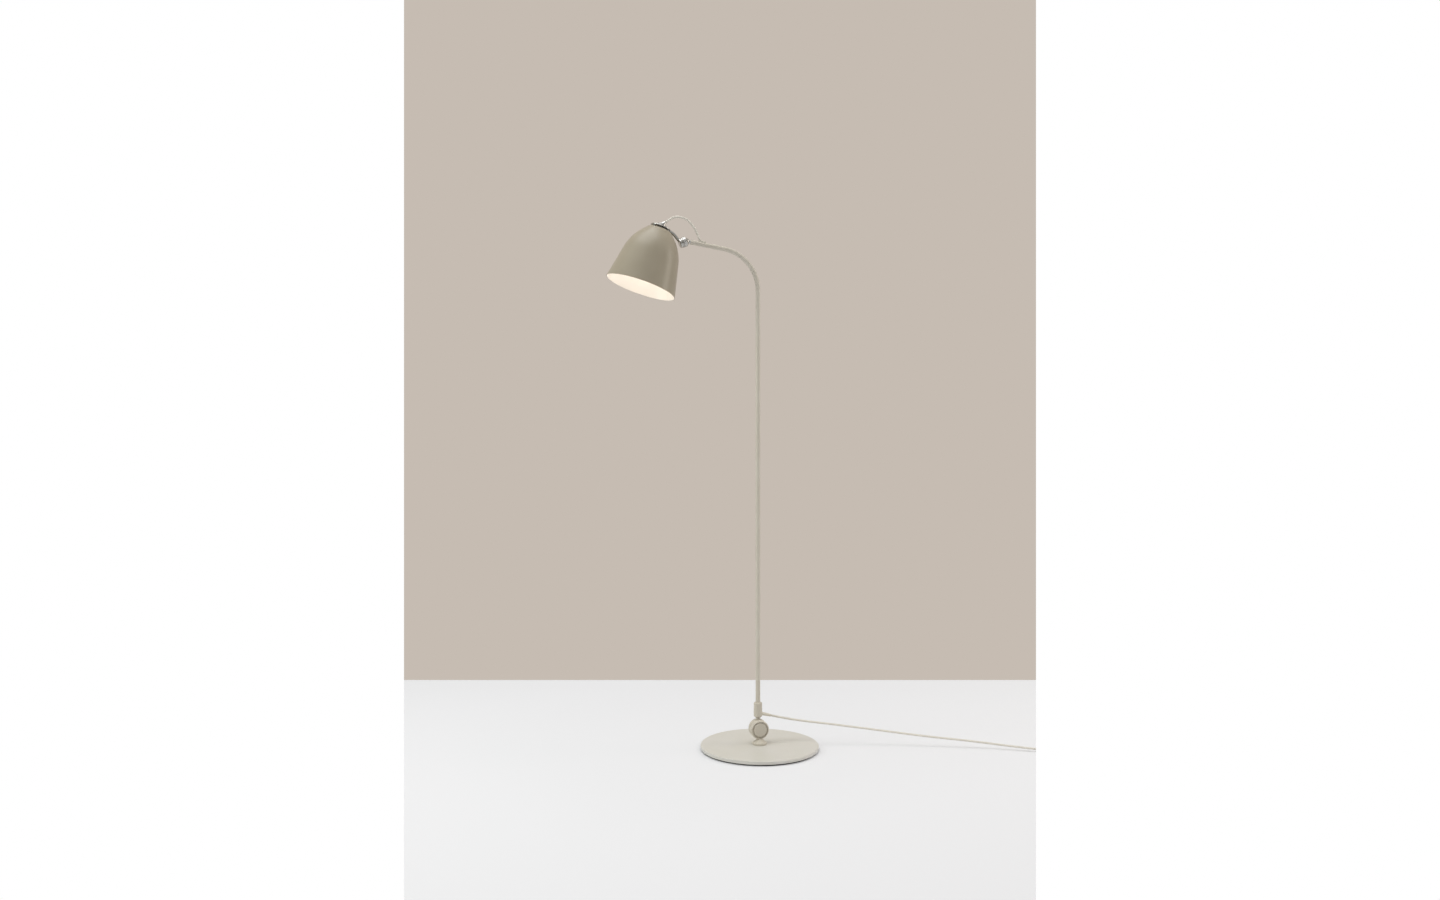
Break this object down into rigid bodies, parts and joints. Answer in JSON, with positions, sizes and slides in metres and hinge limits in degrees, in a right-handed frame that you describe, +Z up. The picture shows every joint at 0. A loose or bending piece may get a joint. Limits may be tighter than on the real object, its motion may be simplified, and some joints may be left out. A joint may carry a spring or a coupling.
{
  "type": "floor lamp",
  "caption": "Reading floor lamp with a round base, a slim tilting pole bent over at the top, and a bell shade on a ball joint.",
  "frame": {"origin": "middle of the round base, on the floor", "axes": "+Z up, -X towards the arm and shade, -Y towards the hinge cover"},
  "size_m": [1.05, 0.3332, 1.1229],
  "materials": {
    "paint": "satin",
    "hood": "satin",
    "pad": "matte",
    "cover": "satin",
    "steel": "satin",
    "bearing": "matte",
    "chrome": "polished",
    "lead": "satin",
    "switch_plastic": "satin",
    "holder_plastic": "satin",
    "brass": "satin",
    "glass": "frosted"
  },
  "bodies": {
    "base": {"base_plate": "paint", "base_pad": "pad", "foot": "paint", "foot_screw": "steel", "foot_washer": "steel", "foot_pin": "steel", "hinge_cover": "cover", "hinge_bolt": "steel", "friction_washer": "bearing", "disc_springs": "steel", "lock_nut": "steel", "lead_span": "lead", "switch_base": "switch_plastic", "switch_cover": "switch_plastic", "button_spring": "steel", "switch_screws": "steel", "switch_reliefs": "switch_plastic", "lead_link": "lead", "lead_coil": "lead", "coil_tie": "lead", "lead_tail": "lead", "plug_relief": "switch_plastic", "plug_body": "switch_plastic", "plug_pins": "brass"},
    "pole": {"pole_knuckle": "paint", "hinge_bush": "bearing", "hinge_rear_cover": "paint", "collar": "paint", "collar_screws": "steel", "lead_relief": "hood", "arm_tube": "paint", "lead_hood": "hood", "pole_lead": "lead", "ball_stud": "chrome"},
    "swivel": {"pressure_pad": "bearing", "head_lead": "lead"},
    "head": {"head_bracket": "chrome", "shade": "paint", "cap_posts": "steel", "post_screws": "steel", "cap_boss": "chrome", "cable_gland": "chrome", "nipple": "steel", "nipple_nuts": "steel", "head_inner_lead": "lead", "holder_cup": "holder_plastic", "holder_skirt": "holder_plastic", "holder_core": "holder_plastic", "holder_contacts": "brass", "bulb_cap": "brass", "bulb_glass": "glass"},
    "clamp_ring": {"clamp_ring": "chrome"},
    "switch_button": {"switch_button": "switch_plastic"}
  },
  "joints": [
    {"name": "base_tilt", "type": "hinge", "parent": "base", "child": "pole", "pos_m": [0, 0.0124, 0.041], "axis": [0, 1, 0], "range_deg": [-15, 15], "deforming": ["lead_span"]},
    {"name": "head_swivel", "type": "hinge", "parent": "pole", "child": "swivel", "pos_m": [-0.1562, 0.0124, 1.07059], "axis": [0.9936, 0, 0.1132], "range_deg": [-60, 60], "deforming": ["head_lead"]},
    {"name": "head_tilt", "type": "hinge", "parent": "swivel", "child": "head", "pos_m": [-0.1562, 0.0124, 1.07059], "axis": [0, 1, 0], "range_deg": [-15, 68], "deforming": ["head_lead"]},
    {"name": "clamp_ring_turn", "type": "hinge", "parent": "head", "child": "clamp_ring", "pos_m": [-0.1562, 0.0124, 1.07059], "axis": [0.9171, 0, 0.3987], "range_deg": [-30, 30]},
    {"name": "switch_press", "type": "slide", "parent": "base", "child": "switch_button", "axis": [0, 0, -1], "range_m": [0, 0.0028], "stiffness_N_per_m": 500, "springref_m": -0.003, "deforming": ["button_spring"]}
  ]
}
